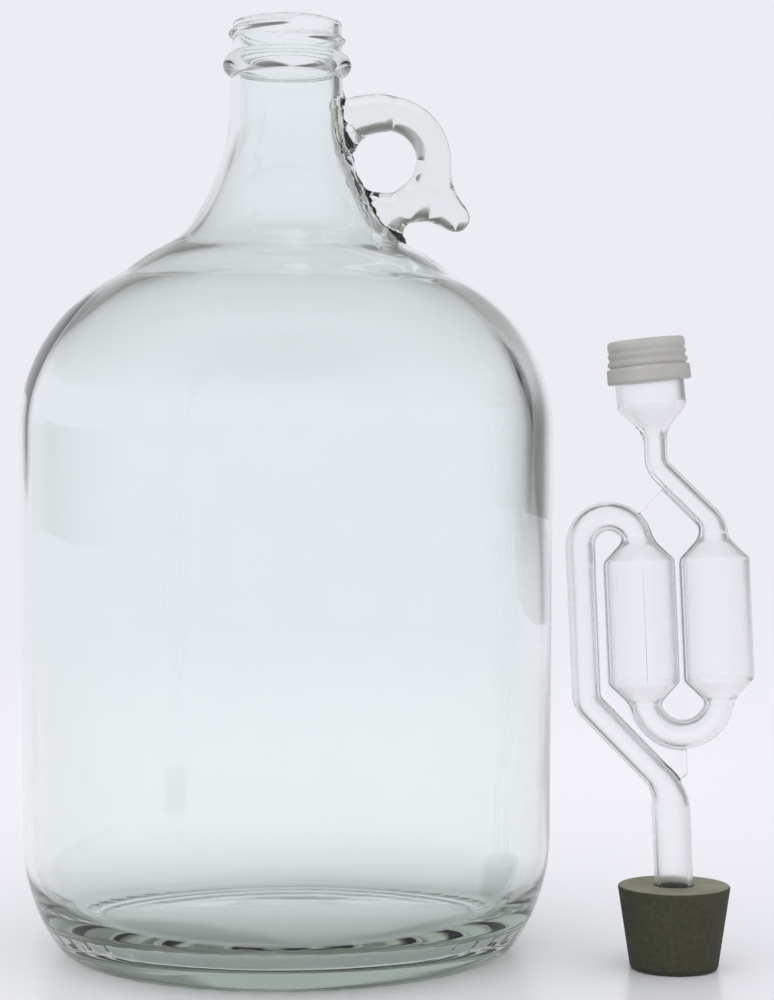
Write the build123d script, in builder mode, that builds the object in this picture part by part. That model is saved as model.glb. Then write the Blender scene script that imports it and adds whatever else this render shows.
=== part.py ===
from build123d import *
import os
from math import cos, radians, sin, tan

# A one gallon glass jug with a finger loop stands on a surface. Beside it stands a drilled
# rubber bung that carries a twin chamber airlock with a push-on dust cap. All sizes are in
# millimetres. Z is up and the surface is at zero.

# Jug: body, base and neck
jug_height = 292.0
body_radius = 84.0
heel_radius = 83.0
heel_height = 38.0
body_wall = 2.8
shoulder_foot = 163.0
shoulder_round = 53.5
shoulder_sweep = 62.0
neck_radius = 18.4
neck_foot = 261.5
neck_top_radius = 17.7
neck_top = 275.0
mouth_bore = 15.0
bearing_radius = 67.5
bearing_width = 3.5
push_up = 5.0
base_thickness = 7.0
floor_radius = 60.0
floor_rise = 4.0
knurl_count = 44
knurl_width = 1.6
knurl_depth = 0.35

# Jug: screw finish
finish_radius = 17.4
rim_round = 1.0
bead_radius = 20.4
bead_height = 7.0
thread_rise = 1.2
thread_inset = 0.3
thread_pitch = 4.23
thread_turns = 1.07
thread_start_drop = 7.1
thread_start_angle = 262.0

# Jug: finger loop
loop_reach = 30.9
loop_height = 248.0
loop_hole_radius = 10.0
loop_section = 5.5
spur_reach = 53.4
spur_height = 230.3
spur_tip_radius = 3.7
spur_angle = -28.0
spur_root_radius = 7.6

# Bung
bung_spacing = 118.4
bung_setback = -34.0
bung_top_radius = 17.0
bung_foot_radius = 13.25
bung_height = 25.0
bung_edge = 0.7

# Airlock: one clear moulding on an axis that leans in the bung. Sizes along that axis are
# counted from the top of the bung.
airlock_lean = 2.5
airlock_wall = 1.3
stem_radius = 5.8
stem_foot_radius = 5.1
stem_depth = 20.0
stem_bend_height = 29.2
stem_clearance = 0.05
tube_radius = 4.2
down_tube_radius = 4.1
down_tube_reach = 24.2
down_tube_corner = 56.3
arch_height = 103.6
left_chamber_reach = 6.4
right_chamber_reach = 16.5
chamber_radius = 10.5
chamber_low = 61.6
chamber_high = 98.2
chamber_round = 1.2
cone_height = 4.9
bend_height = 56.7
top_corner = 109.1
neck_corner = 126.8
slant_tube_radius = 3.6
stem_bend_radius = 15.0
side_bend_radius = 7.0
top_bend_radius = 7.5
web_thickness = 1.2
web_edge_reach = 5.5
web_edge_height = 31.5

# Airlock: funnel and cup, on an axis that leans a little more
cup_base = 134.0
cup_lean = 3.0
cup_bend_radius = 20.0
cup_neck_radius = 3.5
cup_neck_height = 2.5
cup_radius = 10.4
cup_cone_height = 8.0
cup_height = 29.5

# Dust cap
cap_clearance = 0.1
cap_low = 18.3
cap_height = 12.9
cap_radius = 11.75
cap_ring_radius = 12.1
cap_band_radius = 12.65
cap_band_height = 4.6
cap_groove_height = 0.7
cap_ring_height = 1.6
cap_edge = 0.9
vent_count = 6
vent_radius = 0.6
vent_reach = 7.5

overrun = 3.0
# Section of an arm, a finger or a cone where it ends inside what it joins, as a share of that
join_share = 0.94

# Points of the sweep from shoulder to neck, as shares of its width and of its height
flare_shares = ((0.69, 0.845), (0.45, 0.745), (0.20, 0.50), (0.06, 0.24))
# Points of the outer heel, as shares of its width and of its height
heel_shares = ((0.42, 0.135), (0.75, 0.40), (0.95, 0.70))
# Point of the inner heel, as shares of its width and of its height
inner_heel_shares = (0.80, 0.33)
# Where the upper web's free edge ends on the slanting tube, as a share of its run
web_end_share = 0.25

# Places that follow from the sizes
lean_cos, lean_sin = cos(radians(airlock_lean)), sin(radians(airlock_lean))
airlock_reach = (right_chamber_reach + chamber_radius) * lean_cos - chamber_low * lean_sin
jug_x = (body_radius - bung_spacing - airlock_reach) / 2
bung_x = jug_x + bung_spacing
loop_ring = loop_hole_radius + loop_section
cup_axis_lean = radians(airlock_lean + cup_lean)

jug_plane = Plane(origin=(jug_x, 0, 0), x_dir=(-1, 0, 0), z_dir=(0, 1, 0))
jug_axis = Axis((jug_x, 0, 0), (0, 0, 1))
airlock_plane = Plane(
    origin=(bung_x, bung_setback, bung_height), x_dir=(lean_cos, 0, lean_sin), z_dir=(0, -1, 0)
)


def on_airlock(reach, height):
    """A point of the airlock's middle plane, out from its stem and up from the bung."""
    return airlock_plane.from_local_coords((reach, height, 0))


cup_plane = Plane(
    origin=on_airlock(0, cup_base), x_dir=(cos(cup_axis_lean), 0, sin(cup_axis_lean)), z_dir=(0, -1, 0)
)
stem_axis = Axis(airlock_plane.origin, airlock_plane.y_dir)
cup_axis = Axis(cup_plane.origin, cup_plane.y_dir)


def shoulder_and_neck(wall, neck):
    """The jug's outline from the foot of its shoulder to the foot of its neck."""
    centre = body_radius - shoulder_round
    arc = CenterArc((centre, shoulder_foot), shoulder_round - wall, 0, shoulder_sweep)
    low = arc @ 1
    points = [low]
    for across, up in flare_shares:
        reach = neck + across * (low.X - neck)
        height = neck_foot - up * (neck_foot - low.Y)
        points.append((reach, height))
    points.append((neck, neck_foot))
    neck_slope = Vector(neck_top_radius - neck_radius, neck_top - neck_foot)
    Spline(*points, tangents=(arc % 1, neck_slope.normalized()))


def tube(points, bends, radii):
    """A round tube of straight runs in the airlock's middle plane, with a bend at each corner.

    Each run has its own radius, and a bend changes from one radius to the next.
    """
    corners = [on_airlock(reach, height) for reach, height in points]
    steps = [(after - before).normalized() for before, after in zip(corners, corners[1:])]
    starts, ends = [corners[0]], []
    for corner, bend, before, after in zip(corners[1:-1], bends, steps, steps[1:]):
        cut = bend * tan(radians(before.get_angle(after)) / 2)
        ends.append(corner - before * cut)
        starts.append(corner + after * cut)
    ends.append(corners[-1])
    with BuildPart() as run:
        for start, end, step, radius in zip(starts, ends, steps, radii):
            with BuildSketch(Plane(origin=start, x_dir=(0, 1, 0), z_dir=step)):
                Circle(radius)
            extrude(amount=(end - start).length)
        for number in range(len(bends)):
            with BuildLine() as path:
                TangentArc(ends[number], starts[number + 1], tangent=steps[number])
            for share in (0, 1):
                place = path.line @ share
                facing = path.line % share
                with BuildSketch(Plane(origin=place, x_dir=(0, 1, 0), z_dir=facing)):
                    Circle(radii[number + share])
            sweep(path=path.line, multisection=True)
    return run.part


def chamber(reach, radius, end_radius, round_radius):
    """A chamber round its own upright axis, with a cone at each end that closes to the tube."""
    middle = Axis(on_airlock(reach, 0), airlock_plane.y_dir)
    low, high = chamber_low - cone_height, chamber_high + cone_height
    with BuildPart() as vessel:
        with BuildSketch(airlock_plane):
            with BuildLine():
                Polyline(
                    (reach, low),
                    (reach + end_radius * join_share, low),
                    (reach + radius, chamber_low),
                    (reach + radius, chamber_high),
                    (reach + end_radius * join_share, high),
                    (reach, high),
                    close=True,
                )
            make_face()
        revolve(axis=middle)
        wide = vessel.edges().filter_by(GeomType.CIRCLE).group_by(SortBy.RADIUS)[-1]
        fillet(wide, round_radius)
    return vessel.part


def airlock_passages(inset, foot_inset):
    """The tubes and chambers of the airlock, drawn in by an inset, with their foot lengthened."""
    stem = (
        (0, -foot_inset),
        (0, stem_bend_height),
        (-down_tube_reach, down_tube_corner),
        (-down_tube_reach, arch_height),
    )
    bends = (stem_bend_radius, side_bend_radius)
    radii = (stem_radius - inset, down_tube_radius - inset, tube_radius - inset)
    cup_turn = radians(cup_lean)
    into_cup = cup_neck_height + cup_cone_height / 2
    slant = (
        (right_chamber_reach, chamber_high),
        (right_chamber_reach, top_corner),
        (0, neck_corner),
        (0, cup_base),
        (-into_cup * sin(cup_turn), cup_base + into_cup * cos(cup_turn)),
    )
    slant_bends = (top_bend_radius, top_bend_radius, cup_bend_radius)
    neck = cup_neck_radius - inset
    slant_radii = (tube_radius - inset, slant_tube_radius - inset, neck, neck)
    parts = [
        tube(stem, bends, radii),
        tube(slant, slant_bends, slant_radii),
        chamber(-left_chamber_reach, chamber_radius - inset, tube_radius - inset, chamber_round),
        chamber(right_chamber_reach, chamber_radius - inset, tube_radius - inset, chamber_round),
    ]
    arch = (-down_tube_reach, -left_chamber_reach, arch_height, chamber_high, 1)
    u_bend = (-left_chamber_reach, right_chamber_reach, bend_height, chamber_low, -1)
    for left, right, height, foot, way in (arch, u_bend):
        middle = (left + right) / 2
        reach = (right - left) / 2
        with BuildPart() as loop:
            with BuildLine(airlock_plane) as path:
                Line((left, foot), (left, height))
                ThreePointArc((left, height), (middle, height + way * reach), (right, height))
                Line((right, height), (right, foot))
            with BuildSketch(Plane(origin=path.line @ 0, x_dir=(0, 1, 0), z_dir=path.line % 0)):
                Circle(tube_radius - inset)
            sweep(path=path.line)
        parts.append(loop.part)
    return parts


# Screw thread of the finish: a half round bead that climbs to the right, with rounded ends
thread_section = thread_rise + thread_inset
with BuildPart() as thread:
    with BuildLine() as thread_path:
        Helix(thread_pitch, thread_pitch * thread_turns, finish_radius - thread_inset)
    with BuildSketch(Plane(origin=thread_path.line @ 0, z_dir=thread_path.line % 0)):
        Circle(thread_section)
    sweep(path=thread_path.line, is_frenet=True)
    with Locations(thread_path.line @ 0, thread_path.line @ 1):
        Sphere(thread_section)

# Jug: blown glass, with its screw finish, finger loop and knurled bearing ring in one piece
with BuildPart() as jug:
    with BuildSketch(jug_plane):
        with BuildLine():
            Line((0, push_up), (0, jug_height))
            Line((0, jug_height), (finish_radius, jug_height))
            Line((finish_radius, jug_height), (finish_radius, neck_top + bead_height))
            ThreePointArc(
                (finish_radius, neck_top + bead_height),
                (bead_radius, neck_top + bead_height / 2),
                (neck_top_radius, neck_top),
            )
            Line((neck_top_radius, neck_top), (neck_radius, neck_foot))
            shoulder_and_neck(0, neck_radius)
            Line((body_radius, shoulder_foot), (heel_radius, heel_height))
            heel_width = heel_radius - bearing_radius
            heel_points = [(bearing_radius + a * heel_width, b * heel_height) for a, b in heel_shares]
            Spline(
                (bearing_radius, 0),
                *heel_points,
                (heel_radius, heel_height),
                tangents=((1, 0), (0, 1)),
            )
            Line((bearing_radius - bearing_width, 0), (bearing_radius, 0))
            TangentArc((0, push_up), (bearing_radius - bearing_width, 0), tangent=(1, 0))
        make_face()
    revolve(axis=jug_axis)
    with Locations((jug_x, 0, jug_height - thread_start_drop)):
        add(thread.part, rotation=(0, 0, thread_start_angle))
    # Finger loop: a ring, the arm from the neck to the top of it, and the thumb spur
    loop_centre = Vector(jug_x + loop_reach, 0, loop_height)
    ring_side = Vector(1, 0, 1).normalized()
    with BuildSketch(Plane(loop_centre + ring_side * loop_ring, -ring_side, Vector(1, 0, -1))):
        Circle(loop_section)
    revolve(axis=Axis(loop_centre, (0, 1, 0)))
    arm_start = Vector(jug_x + mouth_bore / 2, 0, loop_height + loop_ring)
    with BuildSketch(Plane(origin=arm_start, x_dir=(0, 1, 0), z_dir=(1, 0, 0))):
        Circle(loop_section * join_share)
    extrude(amount=loop_reach - mouth_bore / 2)
    spur_side = Vector(cos(radians(spur_angle)), 0, sin(radians(spur_angle)))
    spur_root = loop_centre + spur_side * loop_ring
    spur_tip = Vector(jug_x + spur_reach, 0, spur_height)
    with BuildSketch(Plane(origin=spur_root, x_dir=(0, 1, 0), z_dir=spur_tip - spur_root)):
        Ellipse(loop_section * join_share, spur_root_radius)
    with BuildSketch(Plane(origin=spur_tip, x_dir=(0, 1, 0), z_dir=spur_tip - spur_root)):
        Circle(spur_tip_radius * join_share)
    loft()
    with Locations(spur_tip):
        Sphere(spur_tip_radius)
    # The inside
    with BuildSketch(jug_plane):
        with BuildLine():
            Line((0, push_up + base_thickness), (0, jug_height + overrun))
            Line((0, jug_height + overrun), (mouth_bore, jug_height + overrun))
            Line((mouth_bore, jug_height + overrun), (mouth_bore, neck_foot))
            shoulder_and_neck(body_wall, mouth_bore)
            inner_heel = heel_radius - body_wall
            Line((body_radius - body_wall, shoulder_foot), (inner_heel, heel_height))
            across, up = inner_heel_shares
            floor_height = push_up + base_thickness - floor_rise
            middle = (
                floor_radius + across * (inner_heel - floor_radius),
                floor_height + up * (heel_height - floor_height),
            )
            Spline(
                (inner_heel, heel_height),
                middle,
                (floor_radius, floor_height),
                tangents=((0, -1), (-1, 0)),
            )
            TangentArc((0, push_up + base_thickness), (floor_radius, floor_height), tangent=(1, 0))
        make_face()
    revolve(axis=jug_axis, mode=Mode.SUBTRACT)
    rim = jug.faces().filter_by(GeomType.PLANE).sort_by(Axis.Z)[-1]
    fillet(rim.edges(), rim_round)
    # Knurls across the bearing ring
    with BuildSketch(Plane(origin=(jug_x, 0, 0))):
        with PolarLocations(bearing_radius - bearing_width / 2, knurl_count):
            Rectangle(bearing_width * 2, knurl_width)
    extrude(amount=knurl_depth, mode=Mode.SUBTRACT)
jug.part.label = "jug"

# Bung: a tapered rubber stopper, drilled for the stem
with BuildPart() as bung:
    with Locations((bung_x, bung_setback, 0)):
        Cone(
            bung_foot_radius,
            bung_top_radius,
            bung_height,
            align=(Align.CENTER, Align.CENTER, Align.MIN),
        )
    fillet(bung.edges().filter_by(GeomType.CIRCLE), bung_edge)
    with BuildSketch(airlock_plane):
        with BuildLine():
            Polyline(
                (0, overrun),
                (stem_radius + stem_clearance, overrun),
                (stem_radius + stem_clearance, 0),
                (stem_foot_radius + stem_clearance, -stem_depth),
                (stem_foot_radius + stem_clearance, -bung_height - overrun),
                (0, -bung_height - overrun),
                close=True,
            )
        make_face()
    revolve(axis=stem_axis, mode=Mode.SUBTRACT)
bung.part.label = "bung"

# Airlock body: stem, tubes, two chambers, funnel, cup and thin webs, moulded in one
outer_passages = airlock_passages(0, 0)
inner_passages = airlock_passages(airlock_wall, stem_depth + overrun)
arch_middle = (-down_tube_reach - left_chamber_reach) / 2
arch_round = (down_tube_reach - left_chamber_reach) / 2
bend_round = (right_chamber_reach + left_chamber_reach) / 2
web_end_height = neck_corner - web_end_share * (neck_corner - top_corner)
with BuildPart() as airlock_body:
    add(outer_passages)
    # The stem's foot tapers inside the bung
    with BuildSketch(airlock_plane):
        with BuildLine():
            Polyline(
                (0, 0),
                (stem_radius, 0),
                (stem_foot_radius, -stem_depth),
                (0, -stem_depth),
                close=True,
            )
        make_face()
    revolve(axis=stem_axis)
    # Webs between the tubes and chambers
    with BuildSketch(airlock_plane):
        with BuildLine():
            Polyline(
                (-down_tube_reach, down_tube_corner),
                (-down_tube_reach, arch_height),
                (arch_middle, arch_height + arch_round),
                (-left_chamber_reach, arch_height + tube_radius * 2),
                (right_chamber_reach * web_end_share, web_end_height),
                (right_chamber_reach, top_corner),
                (right_chamber_reach, bend_height),
                (web_edge_reach, bend_height - bend_round),
                (web_edge_reach, web_edge_height + slant_tube_radius / 2),
                (web_edge_reach / 2, web_edge_height),
                (0, stem_bend_height),
                close=True,
            )
        make_face()
    extrude(amount=web_thickness / 2, both=True)
    # Funnel and cup
    with BuildSketch(cup_plane):
        with BuildLine():
            Polyline(
                (0, cup_neck_height),
                (cup_neck_radius * join_share, cup_neck_height),
                (cup_radius, cup_neck_height + cup_cone_height),
                (cup_radius, cup_height),
                (0, cup_height),
                close=True,
            )
        make_face()
    revolve(axis=cup_axis)
    add(inner_passages, mode=Mode.SUBTRACT)
    cup_bore = cup_radius - airlock_wall
    neck_bore = cup_neck_radius - airlock_wall
    with BuildSketch(cup_plane):
        with BuildLine():
            Polyline(
                (0, cup_neck_height + airlock_wall / 2),
                (neck_bore * join_share, cup_neck_height + airlock_wall / 2),
                (cup_bore, cup_neck_height + cup_cone_height + airlock_wall / 2),
                (cup_bore, cup_height + overrun),
                (0, cup_height + overrun),
                close=True,
            )
        make_face()
    revolve(axis=cup_axis, mode=Mode.SUBTRACT)
airlock_body.part.label = "airlock_body"

# Dust cap: pushes over the cup and rests on its rim, and breathes through small vents
cap_bore = cup_radius + cap_clearance
cap_top = cap_low + cap_height
cap_ring_low = cap_low + cap_band_height + cap_groove_height
with BuildPart() as airlock_cap:
    with BuildSketch(cup_plane):
        with BuildLine():
            Polyline(
                (0, cap_low),
                (cap_band_radius, cap_low),
                (cap_band_radius, cap_low + cap_band_height),
                (cap_radius, cap_low + cap_band_height),
                (cap_radius, cap_ring_low),
                (cap_ring_radius, cap_ring_low),
                (cap_ring_radius, cap_ring_low + cap_ring_height),
                (cap_radius, cap_ring_low + cap_ring_height),
                (cap_radius, cap_top),
                (0, cap_top),
                close=True,
            )
        make_face()
    revolve(axis=cup_axis)
    top_edge = airlock_cap.edges().filter_by(GeomType.CIRCLE).sort_by(cup_axis)[-1]
    fillet(top_edge, cap_edge)
    with BuildSketch(Plane(origin=cup_plane.from_local_coords((0, cap_low, 0)), z_dir=cup_plane.y_dir)):
        Circle(cap_bore)
    extrude(amount=cup_height + cap_clearance - cap_low, mode=Mode.SUBTRACT)
    with BuildSketch(Plane(origin=cup_plane.from_local_coords((0, cap_top, 0)), z_dir=cup_plane.y_dir)):
        with PolarLocations(vent_reach, vent_count):
            Circle(vent_radius)
    extrude(amount=-cap_height / 2, mode=Mode.SUBTRACT)
airlock_cap.part.label = "airlock_cap"

os.makedirs("parts", exist_ok=True)
export_step(jug.part, "parts/jug.step")
export_step(bung.part, "parts/bung.step")
export_step(airlock_body.part, "parts/airlock_body.step")
export_step(airlock_cap.part, "parts/airlock_cap.step")
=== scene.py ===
import cmath
import itertools
import math

import bmesh
import bpy
import numpy as np
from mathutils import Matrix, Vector


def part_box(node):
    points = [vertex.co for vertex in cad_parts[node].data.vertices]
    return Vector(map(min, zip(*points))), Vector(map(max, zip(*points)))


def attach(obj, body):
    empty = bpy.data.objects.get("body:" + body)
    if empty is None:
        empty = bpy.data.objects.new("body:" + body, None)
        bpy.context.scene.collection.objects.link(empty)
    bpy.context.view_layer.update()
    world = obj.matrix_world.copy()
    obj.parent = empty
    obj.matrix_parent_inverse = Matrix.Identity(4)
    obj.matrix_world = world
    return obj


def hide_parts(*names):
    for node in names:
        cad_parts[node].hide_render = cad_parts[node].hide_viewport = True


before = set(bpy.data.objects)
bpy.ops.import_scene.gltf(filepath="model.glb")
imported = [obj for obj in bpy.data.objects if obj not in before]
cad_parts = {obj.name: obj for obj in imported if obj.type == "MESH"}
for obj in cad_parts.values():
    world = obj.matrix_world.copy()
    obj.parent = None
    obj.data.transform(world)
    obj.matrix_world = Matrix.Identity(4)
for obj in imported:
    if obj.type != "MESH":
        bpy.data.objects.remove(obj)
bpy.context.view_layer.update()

# Lengths are in millimetres in the shapes below, and become metres when a mesh is made
MM = 0.001


def in_mm(vector):
    return np.array(vector) / MM


jug_low, jug_high = map(in_mm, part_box("jug"))
bung_low, bung_high = map(in_mm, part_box("bung"))

# Jug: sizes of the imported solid
jug_height = jug_high[2]
body_radius = (jug_high[1] - jug_low[1]) / 2
jug_x = jug_low[0] + body_radius
heel_radius = 83.0
heel_height = 38.0
body_wall = 2.8
shoulder_foot = 163.0
shoulder_round = 53.5
shoulder_sweep = math.radians(62.0)
neck_radius = 18.4
neck_foot = 261.5
neck_top_radius = 17.7
neck_top = 275.0
mouth_bore = 15.0
bearing_radius = 67.5
bearing_width = 3.5
push_up = 5.0
base_thickness = 7.0
floor_radius = 60.0
floor_rise = 4.0
knurl_count = 44
knurl_depth = 0.35
knurl_sharpness = 2.2
knurl_reach = 3.0
knurl_margin = 0.2
flare_shares = ((0.69, 0.845), (0.45, 0.745), (0.20, 0.50), (0.06, 0.24))
heel_shares = ((0.42, 0.135), (0.75, 0.40), (0.95, 0.70))
inner_heel_shares = ((0.80, 0.33),)

# Jug: the inside is uneven, and the wall thicker at the shoulder and on the right side
ripple_low = 24.0
ripple_low_fade = 40.0
ripple_high = 250.0
ripple_high_fade = 60.0
slow_ripple = 0.16
fine_ripple = 0.035
shoulder_extra = 1.2
shoulder_start = 172.0
shoulder_start_fade = 34.0
shoulder_end = 246.0
shoulder_end_fade = 30.0
tilt_end = 248.0
tilt_end_fade = 40.0
side_extra = 1.3
side_foot = 92.0
side_taper = 56.0
side_edge = 0.8
side_edge_fade = 0.5

# Jug: screw finish
finish_radius = 17.4
rim_round = 1.3
bead_radius = 20.3
bead_height = 7.0
thread_rise = 1.2
thread_half_width = 1.5
thread_pitch = 4.23
thread_turns = 1.07
thread_start_drop = 7.1
thread_start = math.radians(262.0)
thread_end_laps = 1 / 14
thread_margin = 0.5

# Jug: finger loop, measured out from the jug's axis
loop_reach = 30.9
loop_height = 248.0
loop_ring = 15.5
loop_section = 5.45
spur_reach = 53.3
spur_height = 230.3
spur_tip_radius = 3.65
root_reach = 33.0
root_height = 222.5
root_radius = 4.6
arm_inset = 2.0
arm_drop = 0.5
arm_blend_end = 8.0
arm_blend_fade = 14.0
spur_root_share = 0.97
outer_root_shares = (0.94, 0.33)
inner_root = (9.5, 12.2)
handle_blend = 3.2
handle_cell = 0.6
handle_sink = 0.6
seam_blend = 1.8
seam_depth = 0.9
seam_width = 1.1
seam_sway = 1.5
# Waves of the seam's sway: size, turn per millimetre of height, start
seam_waves = ((1.0, 0.55, 0.0), (0.6, 1.3, 1.0), (0.3, 2.9, 0.0))
# The jug's outline starts here in the fillet's field
jug_field_low = 190.0
# The box in which the crease becomes a fillet, from its start beside the jug's axis
crease_start = 8.0
crease_low = 212.0
crease_high = 276.0
crease_half_depth = 16.0
crease_in_jug = 0.4
crease_in_handle = 0.9

# Bung
bung_x, bung_y = (bung_low[:2] + bung_high[:2]) / 2
bung_height = bung_high[2]
bung_top_radius = 17.0
bung_foot_radius = 13.25
bung_edge = 0.7
bung_top_edge_share = 1.2
bung_sides = 128
bore_edge = 0.3
bore_zone = 10.0
bore_zone_fade = 4.0
stem_clearance = 0.05

# Airlock, measured out from its stem and up from the bung
airlock_lean = math.radians(2.5)
airlock_wall = 1.3
airlock_cell = 0.5
stem_radius = 5.8
stem_foot_radius = 5.1
stem_depth = 20.0
stem_bend_height = 29.2
tube_radius = 4.2
down_tube_radius = 4.1
down_tube_reach = 24.2
down_tube_corner = 56.3
arch_height = 103.6
left_chamber_reach = 6.4
right_chamber_reach = 16.5
chamber_radius = 10.4
chamber_low = 61.6
chamber_high = 98.2
chamber_round = 1.2
chamber_blend = 1.6
chamber_inner_blend = 1.0
tube_blend = 0.4
cone_height = 4.9
bend_height = 56.7
top_corner = 109.1
neck_corner = 126.8
slant_tube_radius = 3.6
stem_bend_radius = 15.0
side_bend_radius = 7.0
top_bend_radius = 7.5
web_thickness = 1.2
web_edge_reach = 5.5
web_edge_height = 31.5
web_end_share = 0.25
web_rim = 0.85
web_blend = 0.7
web_edge_blend = 0.4
# Small nibs that moulding leaves: out from the stem, up from the bung, radius
nib_blend = 0.3
nibs = ((-5.4, 138.6, 0.35), (-4.2, 137.0, 0.4), (-3.4, 135.4, 0.35), (-10.7, 102.4, 0.5))

# Funnel and cup, on an axis that leans a little more
cup_base = 134.0
cup_lean = math.radians(3.0)
cup_bend_radius = 20.0
cup_neck_radius = 3.5
cup_neck_height = 2.5
cup_radius = 10.4
cup_cone_height = 8.0
cup_height = 29.5
cup_round = 2.2
cup_low = 1.5
cup_inner_low = 2.2
cup_inner_over = 6.0
cup_blend = 2.0
cup_inner_blend = 1.5
cut_round = 0.5
opening_blend = 0.3

# Dust cap
cap_clearance = 0.1
cap_low = 18.3
cap_height = 12.9
cap_radius = 11.75
cap_ring_radius = 12.05
cap_band_radius = 12.6
cap_band_height = 4.6
cap_groove_height = 0.7
cap_ring_height = 1.6
cap_groove_depth = 0.36
cap_upper_share = 0.74
cap_soft = 0.35
cap_chamfer = 0.3
cap_draft = 0.1
cap_edge = 0.9
cap_roof_inset = 2.2
cap_dish = 0.25
cap_sides = 96


# Meshes from arrays

def make_mesh(name, points, faces):
    """A smooth mesh object from points in millimetres and groups of faces as rows of indices."""
    mesh = bpy.data.meshes.new(name)
    points = np.asarray(points, dtype=np.float64)
    faces = [np.asarray(group, dtype=np.int32) for group in faces if len(group)]
    loops = np.concatenate([group.ravel() for group in faces])
    sizes = np.concatenate([np.full(len(group), group.shape[1], dtype=np.int32) for group in faces])
    mesh.vertices.add(len(points))
    mesh.vertices.foreach_set("co", (points * MM).astype(np.float32).ravel())
    mesh.loops.add(len(loops))
    mesh.loops.foreach_set("vertex_index", loops)
    mesh.polygons.add(len(sizes))
    mesh.polygons.foreach_set("loop_start", np.concatenate([[0], np.cumsum(sizes)[:-1]]).astype(np.int32))
    mesh.update(calc_edges=True)
    mesh.validate()
    shade_smooth(mesh)
    return add_object(name, mesh)


def add_object(name, data):
    thing = bpy.data.objects.new(name, data)
    bpy.context.scene.collection.objects.link(thing)
    return thing


def shade_smooth(mesh):
    mesh.polygons.foreach_set("use_smooth", [True] * len(mesh.polygons))


def points_of(thing):
    co = np.zeros(len(thing.data.vertices) * 3, dtype=np.float32)
    thing.data.vertices.foreach_get("co", co)
    return co.reshape(-1, 3).astype(np.float64) / MM


def set_points(thing, points):
    thing.data.vertices.foreach_set("co", (points * MM).astype(np.float32).ravel())
    thing.data.update()


def ring_quads(rings, sides, closed=False):
    """Quads between rings of points that follow each other, and from the last to the first if closed."""
    across = np.arange(sides)
    after = (across + 1) % sides
    quads = []
    for ring in range(rings if closed else rings - 1):
        here, above = ring * sides, (ring + 1) % rings * sides
        quads.append(np.stack([here + across, here + after, above + after, above + across], axis=1))
    return np.concatenate(quads)


def lathe(name, profile, sides, warp=None):
    """A body turned about Z from a profile of (radius, height) rows that starts and ends on the axis.

    warp(angle, radius, height, row) gives the moved radius and height of every point of the rings.
    """
    inner = profile[1:-1]
    row, turn = np.mgrid[:len(inner), :sides]
    turn = turn * (2 * math.pi / sides)
    radius, height = (np.repeat(inner[:, k:k + 1], sides, axis=1) for k in (0, 1))
    if warp is not None:
        radius, height = warp(turn, radius, height, row)
    rings = np.stack([radius * np.cos(turn), radius * np.sin(turn), height], axis=2).reshape(-1, 3)
    points = np.concatenate([rings, [[0, 0, profile[0][1]], [0, 0, profile[-1][1]]]])
    across = np.arange(sides)
    after = (across + 1) % sides
    start, end, top = len(rings), len(rings) + 1, len(rings) - sides
    caps = np.concatenate([
        np.stack([np.full(sides, start), after, across], axis=1),
        np.stack([np.full(sides, end), top + across, top + after], axis=1),
    ])
    return make_mesh(name, points, [ring_quads(len(inner), sides), caps])


# Outlines

def line(start, end, step):
    start, end = np.array(start, float), np.array(end, float)
    count = max(1, int(math.ceil(np.linalg.norm(end - start) / step)))
    return start + (end - start) * (np.arange(count + 1) / count)[:, None]


def arc(centre, radius, start, end, step):
    count = max(2, int(math.ceil(abs(end - start) * radius / step)))
    angle = start + (end - start) * np.arange(count + 1) / count
    return np.stack([centre[0] + radius * np.cos(angle), centre[1] + radius * np.sin(angle)], axis=1)


def arc_through(start, middle, end, step):
    """The arc from start through middle to end."""
    a, b, c = (complex(*point) for point in (start, middle, end))
    w = (c - a) / (b - a)
    centre = (b - a) * (w - abs(w) ** 2) / (2j * w.imag) + a
    first, via, last = (cmath.phase(point - centre) for point in (a, b, c))
    full = 2 * math.pi
    turn = (last - first) % full
    if (via - first) % full > turn:
        turn -= full
    return arc((centre.real, centre.imag), abs(a - centre), first, first + turn, step)


def spline(points, start_way, end_way, step):
    """A smooth cubic curve through the points, with a direction given at each end."""
    points = np.array(points, float)
    gaps = np.linalg.norm(np.diff(points, axis=0), axis=1)
    count = len(points)
    system = np.zeros((count, count))
    wanted = np.zeros((count, 2))
    system[0, 0] = system[-1, -1] = 1
    wanted[0] = np.array(start_way) / np.linalg.norm(start_way)
    wanted[-1] = np.array(end_way) / np.linalg.norm(end_way)
    slopes = np.diff(points, axis=0) / gaps[:, None]
    for k in range(1, count - 1):
        system[k, k - 1] = gaps[k]
        system[k, k] = 2 * (gaps[k - 1] + gaps[k])
        system[k, k + 1] = gaps[k - 1]
        wanted[k] = 3 * (gaps[k] * slopes[k - 1] + gaps[k - 1] * slopes[k])
    ways = np.linalg.solve(system, wanted)
    rows = [points[:1]]
    for k in range(count - 1):
        parts = max(2, int(math.ceil(gaps[k] / step)))
        t = (np.arange(parts) + 1)[:, None] / parts
        rows.append(
            points[k] * (1 + 2 * t) * (1 - t) ** 2
            + points[k + 1] * t ** 2 * (3 - 2 * t)
            + gaps[k] * (ways[k] * t * (1 - t) ** 2 - ways[k + 1] * t ** 2 * (1 - t))
        )
    return np.concatenate(rows)


def joined(*pieces):
    """The pieces end to end, without the points that repeat."""
    rows = np.concatenate(pieces)
    keep = np.ones(len(rows), bool)
    keep[1:] = np.linalg.norm(np.diff(rows, axis=0), axis=1) > 1e-6
    return rows[keep]


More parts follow.
